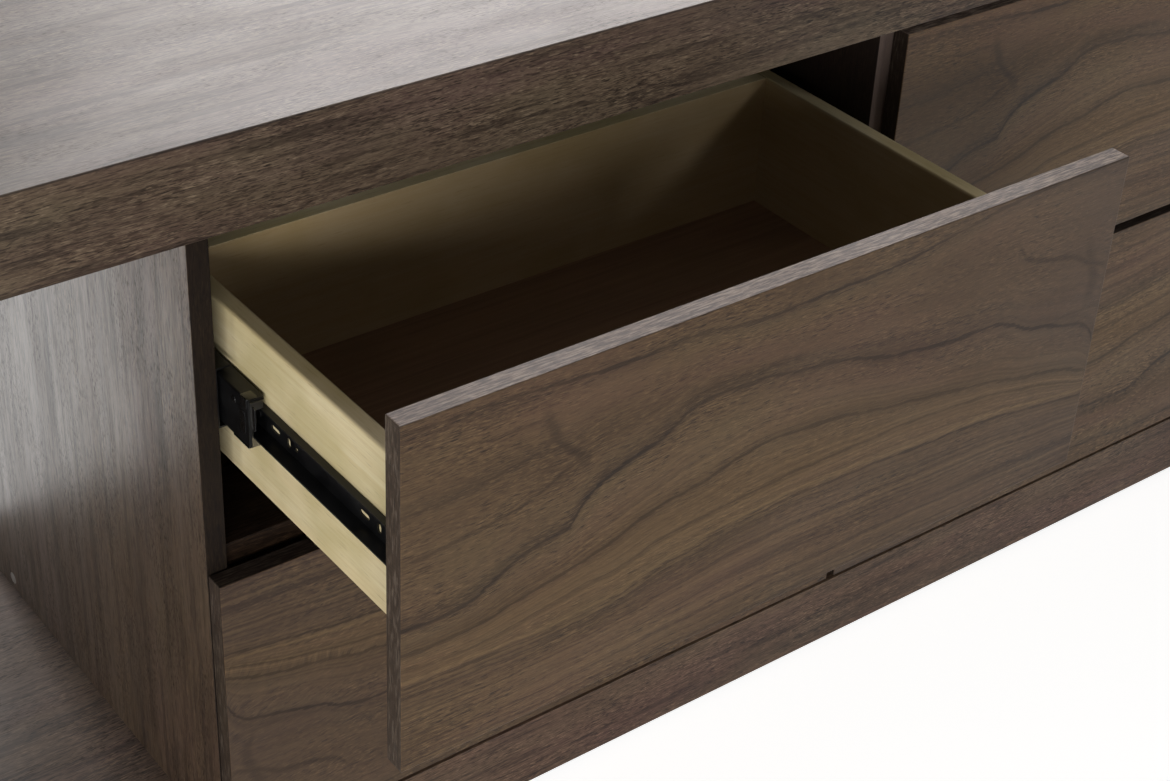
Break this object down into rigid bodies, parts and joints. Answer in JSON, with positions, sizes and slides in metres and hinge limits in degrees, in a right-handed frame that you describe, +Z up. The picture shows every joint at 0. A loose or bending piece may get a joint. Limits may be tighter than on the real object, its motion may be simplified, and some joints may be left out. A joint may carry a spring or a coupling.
{
  "type": "office credenza",
  "caption": "Long low office credenza: a thick mitred wooden frame round a block of drawers with plain slab fronts, an open bay at each end and ball-bearing runners.",
  "frame": {"origin": "on the floor, in the middle of the footprint with the upper left drawer standing open as stored: x middle of the length, y middle between that drawer's face and the rear edge", "axes": "+X along the length to the right as seen from the front, +Y from front to back, +Z up; drawers open towards -Y"},
  "size_m": [2, 0.816, 0.76],
  "materials": {
    "back_veneer": "satin lacquered walnut veneer",
    "box_wood": "clear lacquered pale solid wood",
    "cage_steel": "dark greased steel",
    "dowel_wood": "plain beech",
    "drawer_floor": "clear lacquered pale plywood",
    "end_veneer": "satin lacquered walnut veneer, upright grain",
    "frame_veneer": "satin lacquered walnut veneer, grain along the length",
    "front_veneer": "satin lacquered walnut veneer, flowing grain along the length",
    "glide_plastic": "black, matt",
    "panel_veneer": "satin lacquered walnut veneer, upright grain",
    "rail_wood": "satin lacquered walnut veneer",
    "runner_steel": "black, semi-gloss",
    "screw_steel": "black zinc",
    "zinc_fitting": "zinc plated"
  },
  "bodies": {
    "carcass": {"top_slab": "frame_veneer", "base_slab": "frame_veneer", "left_end_panel": "end_veneer", "right_end_panel": "end_veneer", "levelling_glides": "glide_plastic", "left_block_panel": "panel_veneer", "centre_divider": "panel_veneer", "right_block_panel": "panel_veneer", "block_back_panel": "back_veneer", "left_drawer_rail": "rail_wood", "right_drawer_rail": "rail_wood", "wooden_dowels": "dowel_wood", "base_bolts": "zinc_fitting", "barrel_nuts": "zinc_fitting", "back_panel_screws": "screw_steel", "runner_screws": "screw_steel", "upper_left_runner_cabinet_members": "runner_steel", "upper_right_runner_cabinet_members": "runner_steel", "lower_left_runner_cabinet_members": "runner_steel", "lower_right_runner_cabinet_members": "runner_steel"},
    "upper_left_drawer": {"upper_left_front": "front_veneer", "upper_left_box_bottom": "drawer_floor", "upper_left_box_left_side": "box_wood", "upper_left_box_right_side": "box_wood", "upper_left_box_front": "box_wood", "upper_left_box_back": "box_wood", "upper_left_drawer_screws": "screw_steel", "upper_left_runner_drawer_members": "runner_steel"},
    "upper_left_runner_middle": {"upper_left_runner_middle_members": "runner_steel", "upper_left_runner_ball_cages": "cage_steel"},
    "upper_right_drawer": {"upper_right_front": "front_veneer", "upper_right_box_bottom": "drawer_floor", "upper_right_box_left_side": "box_wood", "upper_right_box_right_side": "box_wood", "upper_right_box_front": "box_wood", "upper_right_box_back": "box_wood", "upper_right_drawer_screws": "screw_steel", "upper_right_runner_drawer_members": "runner_steel"},
    "upper_right_runner_middle": {"upper_right_runner_middle_members": "runner_steel", "upper_right_runner_ball_cages": "cage_steel"},
    "lower_left_drawer": {"lower_left_front": "front_veneer", "lower_left_box_bottom": "drawer_floor", "lower_left_box_left_side": "box_wood", "lower_left_box_right_side": "box_wood", "lower_left_box_front": "box_wood", "lower_left_box_back": "box_wood", "lower_left_drawer_screws": "screw_steel", "lower_left_runner_drawer_members": "runner_steel"},
    "lower_left_runner_middle": {"lower_left_runner_middle_members": "runner_steel", "lower_left_runner_ball_cages": "cage_steel"},
    "lower_right_drawer": {"lower_right_front": "front_veneer", "lower_right_box_bottom": "drawer_floor", "lower_right_box_left_side": "box_wood", "lower_right_box_right_side": "box_wood", "lower_right_box_front": "box_wood", "lower_right_box_back": "box_wood", "lower_right_drawer_screws": "screw_steel", "lower_right_runner_drawer_members": "runner_steel"},
    "lower_right_runner_middle": {"lower_right_runner_middle_members": "runner_steel", "lower_right_runner_ball_cages": "cage_steel"}
  },
  "joints": [
    {"name": "upper_left_drawer_slide", "type": "slide", "parent": "carcass", "child": "upper_left_drawer", "axis": [0, -1, 0], "range_m": [-0.255, 0.095]},
    {"name": "upper_right_drawer_slide", "type": "slide", "parent": "carcass", "child": "upper_right_drawer", "axis": [0, -1, 0], "range_m": [0, 0.35]},
    {"name": "lower_left_drawer_slide", "type": "slide", "parent": "carcass", "child": "lower_left_drawer", "axis": [0, -1, 0], "range_m": [0, 0.35]},
    {"name": "lower_right_drawer_slide", "type": "slide", "parent": "carcass", "child": "lower_right_drawer", "axis": [0, -1, 0], "range_m": [0, 0.35]},
    {"name": "upper_left_runner_slide", "type": "slide", "parent": "carcass", "child": "upper_left_runner_middle", "axis": [0, -1, 0], "range_m": [-0.0461, 0.0173]},
    {"name": "upper_right_runner_slide", "type": "slide", "parent": "carcass", "child": "upper_right_runner_middle", "axis": [0, -1, 0], "range_m": [0, 0.0632]},
    {"name": "lower_left_runner_slide", "type": "slide", "parent": "carcass", "child": "lower_left_runner_middle", "axis": [0, -1, 0], "range_m": [0, 0.0632]},
    {"name": "lower_right_runner_slide", "type": "slide", "parent": "carcass", "child": "lower_right_runner_middle", "axis": [0, -1, 0], "range_m": [0, 0.0632]}
  ],
  "couplings": [
    {"joint": "upper_left_runner_slide", "follows": "upper_left_drawer_slide", "ratio": 0.18},
    {"joint": "upper_right_runner_slide", "follows": "upper_right_drawer_slide", "ratio": 0.18},
    {"joint": "lower_left_runner_slide", "follows": "lower_left_drawer_slide", "ratio": 0.18},
    {"joint": "lower_right_runner_slide", "follows": "lower_right_drawer_slide", "ratio": 0.18}
  ]
}
